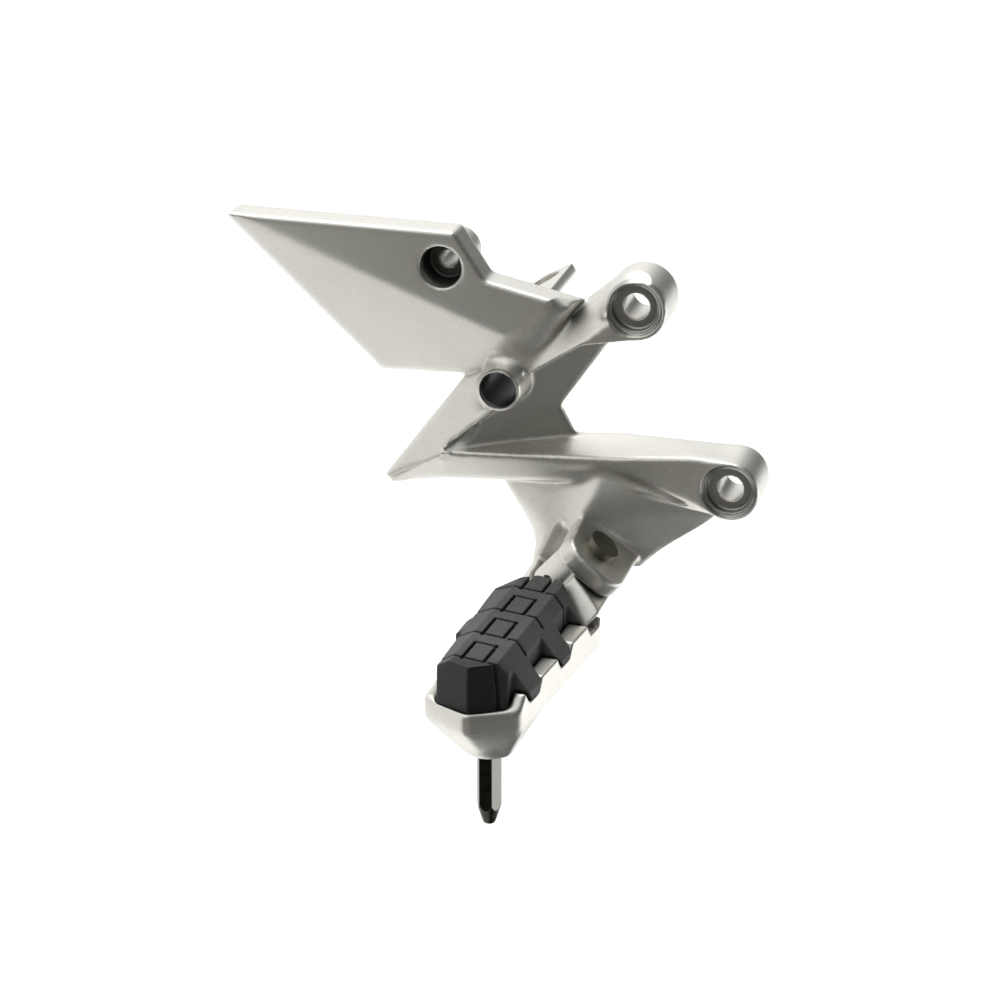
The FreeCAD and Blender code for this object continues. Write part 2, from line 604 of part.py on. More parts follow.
def clevis():
    """Two ears on a common back, square to the leaned hinge axis."""
    slot_half = f"({GRIP} - ear_wall)"
    lower = cylinder("lower_ear", shift(HINGE, "0", "0", f"-{GRIP}"), "ear_radius", "ear_wall")
    back = box(
        "clevis_back_block", shift(HINGE, "-ear_radius", "0", f"-{GRIP}"),
        "2 * ear_radius", "clevis_back", f"2 * {GRIP}",
    )
    upper = []
    straight = "(ear_half - ear_corner)"
    middle = shift(HINGE, "ear_shift", "0", slot_half)
    for side, across in (("rear", f"-{straight}"), ("front", straight)):
        corner = shift(middle, across, "ear_corner - ear_reach", "0")
        upper.append(cylinder(f"upper_ear_{side}", corner, "ear_corner", "ear_wall"))
    upper.append(box(
        "upper_ear_end", shift(middle, f"-{straight}", "-ear_reach", "0"),
        f"2 * {straight}", "ear_reach + clevis_back", "ear_wall",
    ))
    upper.append(box(
        "upper_ear_sides", shift(middle, "-ear_half", "ear_corner - ear_reach", "0"),
        "2 * ear_half", "ear_reach - ear_corner + clevis_back", "ear_wall",
    ))
    block = fused("clevis_block", [lower, back, *upper])
    slot = box(
        "clevis_slot", shift(HINGE, "-4 * ear_radius", "-4 * ear_radius", f"-{slot_half}"),
        "8 * ear_radius", "4 * ear_radius + knuckle_radius + knuckle_gap", f"2 * {slot_half}",
    )
    return block, slot


def switch_tab():
    """Leaned tab with a hole for the brake-light switch."""
    frame = place("tab_x", "0", "tab_z", "rotation(vector(0; 1; 0); -tab_tilt)")
    tab = box(
        "tab", shift(frame, "-tab_width", "tab_root", "-tab_wall"),
        "tab_width", "tab_end - tab_root", "tab_wall",
    )
    middle = shift(frame, "-tab_width / 2", "tab_end - tab_hole_margin", "-2 * tab_wall")
    return tab, cylinder("tab_hole", middle, "tab_hole_radius", "4 * tab_wall")


def step_bracket():
    """The casting, with every bore and slot cut at the end."""
    ears, slot = clevis()
    tab, tab_hole = switch_tab()
    tube = made(
        "Part::Cylinder", "bolt_tube", place("tube_x", "cylinder_face", "tube_z", FACING_OUT),
        Radius="tube_radius", Height="cylinder_face - tube_front",
    )
    beam = cut("beam_with_cove", lower_beam(), beam_cove())
    casting = fused("casting", [
        heel_guard(), guard_boss(), upper_arm(), boss("upper_boss", "0", "0", "upper_boss_radius"),
        boss("lower_boss", "lower_boss_x", "lower_boss_z", "lower_boss_radius"),
        strut_web(), rear_rib(), beam, lower_pad(), fan_web(), ears, tab, tube,
    ])
    bores = [slot, tab_hole]
    for name, x, z in (("upper", "0", "0"), ("lower", "lower_boss_x", "lower_boss_z")):
        front = place(x, "-boss_depth", z, "rotation(vector(1; 0; 0); -90)")
        ahead = shift(front, "0", "0", "-boss_depth")
        bores.append(cylinder(f"{name}_bore", ahead, "bolt_bore_radius", "3 * boss_depth"))
        bores.append(cylinder(f"{name}_seat", ahead, "seat_radius", "boss_depth + seat_depth"))
        bores.append(cylinder(f"{name}_mouth", ahead, "seat_rim_radius", "boss_depth + seat_rim_depth"))
    recess = place("guard_hole_x", "heel_front", "guard_hole_z", "rotation(vector(1; 0; 0); -90)")
    mouth = shift(recess, "0", "0", "-boss_depth")
    bores.append(cylinder("guard_recess", mouth, "guard_hole_radius", "boss_depth + guard_hole_depth"))
    bores.append(cylinder("guard_bolt_bore", recess, "guard_bolt_radius", "4 * boss_depth"))
    rim = place("tube_x", "tube_front", "tube_z", "rotation(vector(1; 0; 0); -90)")
    tube_mouth = shift(rim, "0", "0", "-boss_depth")
    bores.append(cylinder("tube_bore", tube_mouth, "tube_bore_radius", "4 * boss_depth"))
    hinge = shift(HINGE, "0", "0", f"-2 * {GRIP}")
    bores.append(cylinder("hinge_bore", hinge, "pin_radius + pin_clearance", f"4 * {GRIP}"))
    return labelled(cut_all("bracket_bored", casting, bores), "step_bracket")


def labelled(feature, label):
    feature.Label = label
    return feature


COTTER_DROP = "(washer_wall + cotter_radius + cotter_clearance)"
COTTER = shift(HINGE, "0", "0", f"-{GRIP} - {COTTER_DROP}", "rotation(vector(1; 0; 0); 90)")


def hinge_pin():
    """Headed pin through the clevis, drilled near its end for the split pin."""
    shank = cylinder(
        "pin_shank", shift(HINGE, "0", "0", f"-{GRIP} - pin_tail"), "pin_radius", f"2 * {GRIP} + pin_tail",
    )
    head = cylinder("pin_head", shift(HINGE, "0", "0", GRIP), "pin_head_radius", "pin_head_height")
    hole = cylinder(
        "pin_hole", f"{COTTER} * {place('0', '0', '-2 * pin_radius')}",
        "cotter_radius + cotter_clearance", "4 * pin_radius",
    )
    return labelled(cut("pin_drilled", fused("pin_blank", [shank, head]), hole), "hinge_pin")


def ring(name, placement, radius, bore, wall):
    """Plain washer, pushed up from its placement."""
    disc = cylinder(f"{name}_disc", placement, radius, wall)
    return cut(name, disc, cylinder(f"{name}_bore", placement, bore, wall))


def hinge_washer():
    seat = shift(HINGE, "0", "0", f"-{GRIP} - washer_wall")
    disc = ring("washer", seat, "washer_radius", "pin_radius + washer_clearance", "washer_wall")
    return labelled(disc, "hinge_washer")


def split_pin():
    """Straight legs through the hinge pin and an eye beside it."""
    legs = cylinder(
        "cotter_legs", shift(COTTER, "0", "0", "-cotter_length / 2"), "cotter_radius", "cotter_length",
    )
    eye = ring(
        "cotter_eye", shift(
            COTTER, "0", "cotter_radius", "cotter_length / 2 + cotter_eye_radius",
            f"rotation(vector({LENGTHWAYS}); 90)",
        ), "cotter_eye_radius + cotter_radius", "cotter_eye_radius - cotter_radius", "2 * cotter_radius",
    )
    return labelled(fused("cotter", [legs, eye]), "split_pin")


SHOULDER = "(peg_nose - peg_prow)"
KEEL_FRONT = "(peg_nose - keel_front_inset)"
KEEL_BACK = "(peg_nose - keel_back_inset)"
FEELER_ALONG = "(peg_nose - feeler_inset)"
FEELER_TOP = "(keel_z - feeler_collar_drop)"
TREAD_NOSE = "(peg_nose - tread_nose_inset)"
TRAY_UNDER = "(peg_rim - peg_wall_height)"
TRAY_FLOOR = f"({TRAY_UNDER} + peg_floor)"
PLATE_TOP = f"({TRAY_FLOOR} + plate_wall)"


def tray_outline(margin):
    """Plan of the peg's tray, with straight sides that close in to a prow."""
    return [
        (f"peg_offset - peg_far_half - {margin}", "-peg_far"),
        (f"peg_offset - peg_near_half - peg_flare - {margin}", f"-{SHOULDER}"),
        ("peg_offset", f"-peg_nose - {margin}"),
        (f"peg_offset + peg_near_half + {margin}", f"-{SHOULDER}"),
        (f"peg_offset + peg_far_half + {margin}", "-peg_root"),
        ("peg_offset", "-peg_root"),
    ]


def peg_prism(name, corners, low, high):
    """Plan outline in the peg's frame, between two heights from the hinge."""
    return prism(name, corners, shift(PEG, "0", "0", low), f"{high} - ({low})")


PEG_SIDE = shift(PEG, "0", "0", "0", FACING_FORWARD)
SPAN = "4 * peg_far_half"


NOTCHES = ((0, SPAN), (1, SPAN), (2, "0"))


def notch(name, number, rearward, gap, top):
    """Trapezoid across the tray, narrowed by a gap, for a notch or the lug that fills it."""
    middle = f"-(notch_first + notch_pitch * {number})"
    corners = [
        (f"{middle} - notch_floor / 2 + {gap}", f"peg_rim - notch_depth + {gap}"),
        (f"{middle} + notch_floor / 2 - {gap}", f"peg_rim - notch_depth + {gap}"),
        (f"{middle} + notch_mouth / 2 - {gap}", "peg_rim + peg_tooth"),
        (f"{middle} + notch_mouth / 2 - {gap}", top),
        (f"{middle} - notch_mouth / 2 + {gap}", top),
        (f"{middle} - notch_mouth / 2 + {gap}", "peg_rim + peg_tooth"),
    ]
    return prism(name, corners, PEG_SIDE, SPAN, rearward)


def tread_block(name, gap, inset, low):
    """Block with the tread's crown and ends, grown by a gap and pared by an inset."""
    def section(rear):
        return [
            (f"peg_offset - {rear} - {gap} + {inset}", low),
            (f"peg_offset + tread_front + {gap} - {inset}", low),
            (f"peg_offset + tread_front + {gap} - {inset}", f"tread_front_shoulder - {inset} / 2"),
            (f"peg_offset + tread_crown_half + {gap} - {inset} / 2", f"tread_top - {inset}"),
            (f"peg_offset - tread_crown_half - {gap} + {inset} / 2", f"tread_top - {inset}"),
            (f"peg_offset - {rear} - {gap} + {inset}", f"tread_rear_shoulder - {inset} / 2"),
        ]
    bar = loft(name, [
        (section("tread_rear_far"), shift(PEG, "0", "0", "0", FACING_OUT)),
        (section("tread_rear_near"), shift(PEG, "0", "-peg_nose", "0", FACING_OUT)),
    ], True)
    ends = []
    for side, yaw in (("front", "tread_front_yaw"), ("rear", "-tread_rear_yaw")):
        ends.append(beyond(
            f"{name}_{side}_nose", "peg_offset", f"-{TREAD_NOSE} - {gap} + {inset}", "peg_rim",
            turn(UPRIGHT, yaw, LENGTHWAYS, "-tread_nose_lean"), PEG,
        ))
    for side, yaw in (("front", "180 - tread_root_yaw"), ("rear", "180 + tread_root_yaw")):
        ends.append(beyond(
            f"{name}_{side}_root", "peg_offset", f"-tread_root + {gap} - {inset}", "peg_rim",
            f"rotation(vector({UPRIGHT}); {yaw})", PEG,
        ))
    return cut_all(f"{name}_cut", bar, ends)


def tray():
    """Tray with a well for the tread, and side walls that stand up in teeth."""
    body = peg_prism("tray_blank", tray_outline("0"), TRAY_UNDER, "peg_rim + peg_tooth")
    cutters = [tread_block("tray_well", "tread_gap", "0", TRAY_FLOOR)]
    for number, rearward in NOTCHES:
        name = f"tray_notch_{number + 1}"
        cutters.append(notch(name, number, rearward, "0", "peg_rim + 3 * peg_tooth"))
    nose = [
        (f"-{SHOULDER} + peg_tooth", "peg_rim + 3 * peg_tooth"),
        (f"-{SHOULDER} + peg_tooth", "peg_rim + peg_tooth"),
        (f"-{SHOULDER}", "peg_rim"),
        ("-2 * peg_nose", "peg_rim"),
        ("-2 * peg_nose", "peg_rim + 3 * peg_tooth"),
    ]
    cutters.append(prism("tray_nose_cut", nose, PEG_SIDE, SPAN, SPAN))
    cutters.append(box(
        "tray_rear_cut", shift(PEG, f"peg_offset - {SPAN}", "-2 * peg_nose", "peg_rim"),
        SPAN, "2 * peg_nose - tooth_rear_end", "3 * peg_tooth",
    ))
    return cut_all("tray", body, cutters)


def nose_keel():
    """Hull below the nose, drawn in to the feeler's boss."""
    upper = [
        ("peg_offset - peg_near_half - peg_flare", f"-{SHOULDER}"),
        ("peg_offset", "-peg_nose"),
        ("peg_offset + peg_near_half", f"-{SHOULDER}"),
        ("peg_offset + peg_near_half", f"-{KEEL_BACK} + keel_run"),
        ("peg_offset - peg_near_half", f"-{KEEL_BACK} + keel_run"),
    ]
    lower = [
        ("feeler_x - keel_half", f"-{KEEL_FRONT} + keel_prow"),
        ("feeler_x", f"-{KEEL_FRONT}"),
        ("feeler_x + keel_half", f"-{KEEL_FRONT} + keel_prow"),
        ("feeler_x + keel_half", f"-{KEEL_BACK}"),
        ("feeler_x - keel_half", f"-{KEEL_BACK}"),
    ]
    hull = loft("keel_hull", [
        (upper, shift(PEG, "0", "0", TRAY_UNDER)),
        (lower, shift(PEG, "0", "0", "keel_z")),
    ], True)
    collar = cylinder(
        "feeler_collar", shift(PEG, "feeler_x", f"-{FEELER_ALONG}", FEELER_TOP),
        "feeler_collar_radius", "feeler_collar_height",
    )
    return [hull, collar]


def neck(name, gap):
    """Block from the knuckle down into the front of the tray, grown by a gap."""
    half = f"(tongue_width / 2 + {gap})"
    bar = box(
        name, shift(HINGE, f"-neck_rear - {gap}", f"-neck_reach - {gap}", f"-{half}"),
        f"neck_rear + neck_front + 2 * {gap}", f"neck_reach + {gap}", f"2 * {half}",
    )
    slope = beyond(
        f"{name}_slope", "0", "-peg_root", f"tread_top + {gap}",
        f"rotation(vector({LENGTHWAYS}); neck_fall - 90)", PEG,
    )
    corner = shift(PEG, "-2 * neck_reach", "-2 * neck_reach", f"{TRAY_UNDER} - 2 * neck_reach")
    under = box(f"{name}_under", corner, "4 * neck_reach", "4 * neck_reach", "2 * neck_reach")
    return cut_all(f"{name}_cut", bar, [slope, under])


def peg_knuckle():
    """Knuckle with a flat heel that stops on the clevis back, and the neck to the tray."""
    low = "-tongue_width / 2"
    round_part = cylinder("knuckle_round", shift(HINGE, "0", "0", low), "knuckle_radius", "tongue_width")
    heel = box(
        "knuckle_heel", shift(HINGE, "stop_start", "0", low),
        "knuckle_radius - stop_start", "knuckle_radius + knuckle_gap - stop_gap", "tongue_width",
    )
    return [round_part, heel, neck("peg_neck", "0")]


PAD_BOLTS = (("inner", "pad_bolt_inner_y"), ("outer", "pad_bolt_outer_y"))


def peg_body():
    """Peg casting, with the bores for its pin, bolts and feeler."""
    ribs = []
    for name, side in (("rear", "-1"), ("front", "1")):
        across = f"peg_offset + {side} * tray_rib_offset - tray_rib_wall / 2"
        along = f"-{KEEL_BACK} - tray_rib_wall"
        ribs.append(box(
            f"tray_rib_{name}", shift(PEG, across, along, f"{TRAY_UNDER} - tray_rib_drop"),
            "tray_rib_wall", f"{KEEL_BACK} - peg_far + 2 * tray_rib_wall", "tray_rib_drop + peg_floor / 2",
        ))
    casting = fused("peg_casting", [tray(), *nose_keel(), *peg_knuckle(), *ribs])
    tools = [
        cylinder(
            "peg_pin_bore", shift(HINGE, "0", "0", "-tongue_width"),
            "pin_radius + pin_clearance", "2 * tongue_width",
        ),
        cylinder(
            "feeler_bore", shift(PEG, "feeler_x", f"-{FEELER_ALONG}", f"{FEELER_TOP} - feeler_stud_length"),
            "feeler_stud_radius", "2 * feeler_stud_length",
        ),
    ]
    for name, along in PAD_BOLTS:
        tools.append(cylinder(
            f"pad_bolt_bore_{name}", shift(PEG, "peg_offset", f"-{along}", "2 * keel_z"),
            "pad_bolt_radius + pad_bolt_clearance", "4 * -keel_z",
        ))
    return labelled(cut("peg_finished", casting, fused("peg_bores", tools)), "peg_body")


def bank_feeler():
    """Hexagon bar turned to a blunt taper, with a stud that screws into the keel."""
    top = shift(PEG, "feeler_x", f"-{FEELER_ALONG}", FEELER_TOP)
    frame = shift(top, "0", "0", "-feeler_length")
    bar = made(
        "Part::Prism", "feeler_bar", frame,
        Circumradius="feeler_flats / sqrt(3)", Height="feeler_length",
    )
    bar.Polygon = 6
    straight = shift(frame, "0", "0", "feeler_tip_length")
    core = cylinder("feeler_core", straight, "feeler_flats", "feeler_length - feeler_tip_length")
    taper = made(
        "Part::Cone", "feeler_taper", frame,
        Radius1="feeler_tip_radius", Radius2="feeler_flats / sqrt(3)", Height="feeler_tip_length",
    )
    turned = doc.addObject("Part::MultiCommon", "feeler_turned")
    turned.Shapes = [bar, fused("feeler_form", [core, taper])]
    stud = cylinder("feeler_stud", top, "feeler_stud_radius", "feeler_stud_length")
    return labelled(fused("feeler", [turned, stud]), "bank_feeler")


def tread_grooves():
    """Grooves across the tread, each broken by a block on the middle line."""
    tools = []
    reach = "2 * peg_far_half"
    width = "tread_groove_width"
    skew = f"rotation(vector({UPRIGHT}); -tread_skew)"
    for number in range(4):
        centre = shift(PEG, "peg_offset", f"-(tread_first + tread_pitch * {number})", "-peg_far_half")
        bar = shift(centre, "0", "0", "0", skew)
        tools.append(box(
            f"groove_front_{number + 1}", shift(bar, "tread_block_width / 2", f"-{width} / 2", "0"),
            reach, width, reach,
        ))
        tools.append(box(
            f"groove_rear_{number + 1}",
            shift(bar, f"-{reach} - tread_block_width / 2", f"-{width} / 2", "0"),
            reach, width, reach,
        ))
        for side, edge in (("rear", "-tread_block_width / 2"), ("front", f"tread_block_width / 2 - {width}")):
            tools.append(box(
                f"block_{side}_{number + 1}", shift(centre, f"{edge} - tread_block_offset", f"-{width}", "0"),
                width, f"tread_block_length + 1.5 * {width}", reach,
            ))
        for side, edge in (("near", "0"), ("far", "tread_block_length")):
            cross = shift(centre, "-tread_block_offset", edge, "0", skew)
            tools.append(box(
                f"block_{side}_{number + 1}", shift(cross, "-tread_block_width / 2", f"-{width} / 2", "0"),
                "tread_block_width", width, reach,
            ))
    return tools


def lug_profile(name):
    """Section across the lugs: the tread's slope carried on, then a steep outer face."""
    outer = f"tread_lug_top - tread_lug_fall * ({SPAN} - tread_front - tread_lug_run)"
    corners = [
        (f"peg_offset - {SPAN}", f"-{SPAN}"),
        (f"peg_offset + {SPAN}", f"-{SPAN}"),
        (f"peg_offset + {SPAN}", f"max({outer}; 1 - {SPAN})"),
        ("peg_offset + tread_front + tread_lug_run", "tread_lug_top"),
        ("peg_offset + tread_front", "tread_front_shoulder"),
        ("peg_offset - tread_rear_near", "tread_rear_shoulder"),
        ("peg_offset - tread_rear_far - tread_lug_run", "tread_lug_top"),
        (f"peg_offset - {SPAN}", f"max({outer}; 1 - {SPAN})"),
    ]
    return prism(name, corners, shift(PEG, "0", "0", "0", FACING_OUT), "2 * peg_nose")


def tread_lugs():
    """Blocks of the tread that stand out through the notches of the tray."""
    lugs = []
    for number, rearward in NOTCHES:
        at = number + 1
        blank = notch(f"lug_blank_{at}", number, rearward, "tread_lug_gap", "tread_top")
        trim = peg_prism(f"lug_trim_{at}", tray_outline("tread_lug"), "2 * keel_z", "-keel_z")
        lug = doc.addObject("Part::MultiCommon", f"lug_{at}")
        lug.Shapes = [blank, trim, lug_profile(f"lug_profile_{at}")]
        lugs.append(lug)
    return lugs


def tread_pad():
    """Rubber tread: a grooved crown over a plain core, with lugs at the sides."""
    crown = cut("crown_grooved", tread_block("crown", "0", "0", PLATE_TOP), fused("grooves", tread_grooves()))
    core = tread_block("core", "0", "tread_groove_depth", PLATE_TOP)
    whole = fused("tread_whole", [crown, core, *tread_lugs()])
    ends = [
        beyond(
            f"tread_{side}_end", "peg_offset", "-tread_root", "peg_rim",
            f"rotation(vector({UPRIGHT}); {yaw})", PEG,
        )
        for side, yaw in (("front", "180 - tread_root_yaw"), ("rear", "180 + tread_root_yaw"))
    ]
    return labelled(cut_all("tread", whole, [*ends, neck("neck_room", "tread_gap")]), "tread_pad")


def pad_plate():
    """Steel plate under the tread, with a hole for each pad bolt."""
    corners = [
        ("peg_offset - tread_rear_near + plate_margin", "-peg_far - 2 * plate_margin"),
        ("peg_offset - tread_rear_near + plate_margin", f"-{SHOULDER} + 2 * plate_margin"),
        ("peg_offset + tread_front - plate_margin", f"-{SHOULDER} + 2 * plate_margin"),
        ("peg_offset + tread_front - plate_margin", "-peg_far - 2 * plate_margin"),
    ]
    sheet_metal = peg_prism("plate_blank", corners, TRAY_FLOOR, PLATE_TOP)
    holes = []
    for name, along in PAD_BOLTS:
        centre = shift(PEG, "peg_offset", f"-{along}", TRAY_FLOOR)
        holes.append(cylinder(f"plate_hole_{name}", centre, "pad_bolt_radius", "plate_wall"))
    return labelled(cut_all("plate_drilled", sheet_metal, holes), "pad_plate")


def pad_fasteners():
    """Bolt and washer at each end of the plate, from below the tray."""
    pieces = []
    for name, along in PAD_BOLTS:
        seat = shift(PEG, "peg_offset", f"-{along}", f"{TRAY_UNDER} - pad_washer_wall")
        washer = ring(
            f"pad_washer_{name}_ring", seat, "pad_washer_radius",
            "pad_bolt_radius + pad_bolt_clearance", "pad_washer_wall",
        )
        pieces.append(labelled(washer, f"pad_washer_{name}"))
        stack = "pad_washer_wall + peg_floor + plate_wall"
        shank = cylinder(f"pad_bolt_{name}_shank", seat, "pad_bolt_radius", stack)
        head = made(
            "Part::Prism", f"pad_bolt_{name}_head", shift(seat, "0", "0", "-pad_bolt_head_height"),
            Circumradius="pad_bolt_head_radius * 2 / sqrt(3)", Height="pad_bolt_head_height",
        )
        head.Polygon = 6
        pieces.append(labelled(fused(f"pad_bolt_{name}_whole", [shank, head]), f"pad_bolt_{name}"))
    return pieces


def finish():
    """Recompute, test every object and write the sub-parts."""
    doc.recompute()
    for item in doc.Objects:
        if "Invalid" in item.State or "Error" in item.State:
            raise RuntimeError(f"{item.Name} failed: {item.State}")
    os.makedirs("parts", exist_ok=True)
    for part in PARTS:
        if part.Shape.isNull() or not part.Shape.isValid():
            raise RuntimeError(f"{part.Label} has no valid shape")
        part.Shape.exportStep(f"parts/{part.Label}.step")
        print(part.Label, len(part.Shape.Solids), round(part.Shape.Volume))


PARTS = [
    step_bracket(), hinge_pin(), hinge_washer(), split_pin(), peg_body(), bank_feeler(),
    tread_pad(), pad_plate(), *pad_fasteners(),
]
finish()
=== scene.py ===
"""Looks of a motorcycle's right-hand rider step: a satin silver casting and a folding peg.

The frame is the CAD model's: metres, +X forward, +Y inboard, +Z up.
"""

import bpy
from mathutils import Matrix, Vector

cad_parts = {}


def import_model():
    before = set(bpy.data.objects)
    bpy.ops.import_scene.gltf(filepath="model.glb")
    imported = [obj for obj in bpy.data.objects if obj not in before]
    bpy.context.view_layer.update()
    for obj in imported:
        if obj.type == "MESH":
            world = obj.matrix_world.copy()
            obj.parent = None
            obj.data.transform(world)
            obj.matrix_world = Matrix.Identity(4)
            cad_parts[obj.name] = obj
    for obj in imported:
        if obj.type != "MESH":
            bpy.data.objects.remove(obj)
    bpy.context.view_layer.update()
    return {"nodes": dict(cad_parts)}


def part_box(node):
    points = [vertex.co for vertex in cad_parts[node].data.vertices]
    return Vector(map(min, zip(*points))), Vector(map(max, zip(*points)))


MM = 0.001

# Camera at the photograph's viewing angle: its place, and its right, up and back directions.
CAMERA_PLACE = (0.2512, -1.0856, 0.3837)
CAMERA_RIGHT = (0.9613, 0.2756, 0.0)
CAMERA_UP = (-0.1077, 0.3756, 0.9205)
CAMERA_BACK = (0.2537, -0.8848, 0.3907)
CAMERA_LENS = 108
CAMERA_SENSOR = 36
CAMERA_NEAR = 0.01

# Floor sheet, and a patch of painted shade on it that the camera doesn't see, shown only in the object's
# reflections.
FLOOR_HEIGHT = -0.45
FLOOR_FRONT = -0.37
FLOOR_SPAN = 6.0
FLOOR_LIFT = 0.5
FLOOR_ROUGHNESS = 0.9
SHADE_PATCH_PLACE = (0.16, -0.15, FLOOR_HEIGHT)
SHADE_PATCH_RADII = (0.25, 0.45)
SHADE_PATCH_FADE = (0.45, 1.0)

# Surroundings by direction: where they brighten towards the rear and the top, and the dim front.
REAR_FADE = (0.35, -0.25)
HEIGHT_LEAN = 0.45
HEIGHT_FADE = (-0.25, 0.15)
SKY_GLOW = 0.88
FRONT_FADE = (0.55, 0.10)
FRONT_GLOW = (0.08, 0.24)
FRONT_DIM_FADE = (-0.10, -0.35)
FRONT_DIM = 0.15

# Lamps: name, place, aim, size and power.
LAMPS = (
    ("overhead", (-0.25, 0.35, 1.1), (-0.05, 0.0, -0.05), 0.9, 6.0),
    ("rear_fill", (-0.38, -0.30, -0.16), (-0.14, -0.02, 0.0), 0.15, 0.10),
    ("side_fill", (0.50, 0.25, -0.22), (0.0, -0.06, -0.12), 0.35, 0.4),
)

# Round features of the casting: axes, radii and depths along Y.
FRAME_BOLTS = (Vector((0, 0, 0)), Vector((39.2, 0, -71.7)) * MM)
SEAT_RADIUS = 11.2 * MM
SEAT_DEPTH = (-22.6 * MM, -22.2 * MM)
BOLT_BORE = 5.5 * MM
GUARD_HOLE = Vector((-76.9, 0, 11)) * MM
GUARD_RECESS = 8.6 * MM
GUARD_DEPTH = (-25.5 * MM, -21.0 * MM)
GUARD_BOLT = 3.8 * MM
TUBE_AXIS = Vector((-51.5, 0, -34.9)) * MM
TUBE_BORE = 7.9 * MM
TUBE_DEPTH = (-32.5 * MM, -29.5 * MM)
SWITCH_HOLE = Vector((-44.8, 14, -6.2)) * MM
HINGE_POINT = Vector((-19.8, -40, -108.1)) * MM
HINGE_AXIS = Vector((0.656059, 0, 0.754710))
SIDE_AXIS = Vector((0, 1, 0))
HEEL_TIP = Vector((-165, -20, 24)) * MM

# Lines on the casting: the valley beside the upper arm, the slot behind the rib and the foot's crease.
ARM_VALLEY = Vector((-28, -25, -6.5)) * MM
ARM_ALONG = Vector((0.751, 0.098, 0.653))
RIB_SLOT = Vector((-70, -25, -60.8)) * MM
RIB_SLOT_ALONG = Vector((0.746, 0.145, 0.65))
FOOT_CREASE = Vector((-80.5, -29, -69.3)) * MM
FOOT_CREASE_ALONG = Vector((0.767, -0.182, 0.616))

# Flat of the feeler that carries a painted reflection: its outward direction, and the fade of the
# reflection.
REFLECTION_FLAT = Vector((0.829, -0.559, 0))
REFLECTION_FADE = (0.86, 0.97)

# Smooth outboard end of the tread, along Y.
TREAD_END = (-0.131, -0.137)

# Sizes of the finishes: noise features per metre, and the depth of the grain.
FLAKE_SCALE = 1500.0
CLOUD_SCALE = 60.0
SKIN_SCALE = 1500.0
SKIN_DEPTH = 0.06 * MM
RUBBER_GRAIN_SCALE = 3200.0
RUBBER_CLOUD_SCALE = 45.0
RUBBER_SPECK_SCALE = 1300.0
RUBBER_GRAIN_DEPTH = 0.08 * MM
STEEL_MOTTLE_SCALE = 420.0
STEEL_GRAIN_SCALE = 3600.0
STEEL_GRAIN_DEPTH = 0.03 * MM
PAPER_SCALE = 900.0
MOTTLE = (0.3, 0.7)

# Corners that hold shade: how far it reaches, and how dark it gets.
CORNER_REACH = 6 * MM
CORNER_SHADE = 0.45
VALLEY_FADE = (5 * MM, 9 * MM)
GROOVE_REACH = 2.5 * MM
OPEN_RANGE = (0.35, 0.95)

SILVER_DARK = (0.72, 0.708, 0.652, 1)
SILVER_LIGHT = (0.77, 0.758, 0.702, 1)
SILVER_FLAKE = (0.90, 0.89, 0.85, 1)
# Painted highlight on the casting's convex edges.
SILVER_HIGHLIGHT = (0.92, 0.91, 0.88, 1)
SEAT_GREY = (0.46, 0.455, 0.435, 1)
# Painted shade in the recess around the guard hole.
RECESS_SHADE_GREY = (0.16, 0.158, 0.15, 1)
# Painted shade inside the bolt tube's bore.
TUBE_SHADE_BLACK = (0.015, 0.015, 0.015, 1)
RUBBER_DARK = (0.072, 0.072, 0.069, 1)
RUBBER_LIGHT = (0.100, 0.100, 0.096, 1)
RUBBER_RIDGE = (0.12, 0.12, 0.115, 1)
RUBBER_SPECK = (0.15, 0.15, 0.145, 1)
# Painted shade in the tread's grooves.
RUBBER_GROOVE_SHADE = (0.006, 0.006, 0.006, 1)
RUBBER_END = (0.021, 0.021, 0.021, 1)
FEELER_DARK = (0.03, 0.029, 0.024, 1)
FEELER_LIGHT = (0.06, 0.058, 0.048, 1)
# Painted reflection on one flat of the feeler.
FEELER_REFLECTION = (0.34, 0.332, 0.308, 1)
OLIVE_DARK = (0.15, 0.147, 0.11, 1)
OLIVE_LIGHT = (0.22, 0.215, 0.17, 1)
PLATED_DARK = (0.46, 0.46, 0.44, 1)
PLATED_LIGHT = (0.58, 0.58, 0.56, 1)
SHEET_DARK = (0.90, 0.90, 0.90, 1)
SHEET_LIGHT = (0.94, 0.94, 0.94, 1)
# Painted shade on the floor, seen only in the object's reflections.
SHADE_PATCH_GREY = (0.1, 0.1, 0.1, 1)
WARM_WHITE = (1, 0.98, 0.9, 1)
WHITE = (1, 1, 1, 1)

# Edge rounding: size of the fine mesh, share of its faces kept, and passes of smoothing.
BRACKET_MESH = (0.5 * MM, 0.25)
PEG_MESH = (0.4 * MM, 0.3)
TREAD_MESH = (0.35 * MM, 0.35)
FEELER_MESH = (0.25 * MM, 0.4)
BRACKET_PASSES = 26
VALLEY_PASSES = 420
SLOT_PASSES = 400
PEG_PASSES = 14
NOSE_PASSES = 40
TREAD_PASSES = 2
TIP_PASSES = 40
FIRST_PASSES = 3
NORMAL_WEIGHT = 80
WELD_REACH = 1e-6
EASED_EDGE = 0.25 * MM
EASED_ANGLE = 0.6


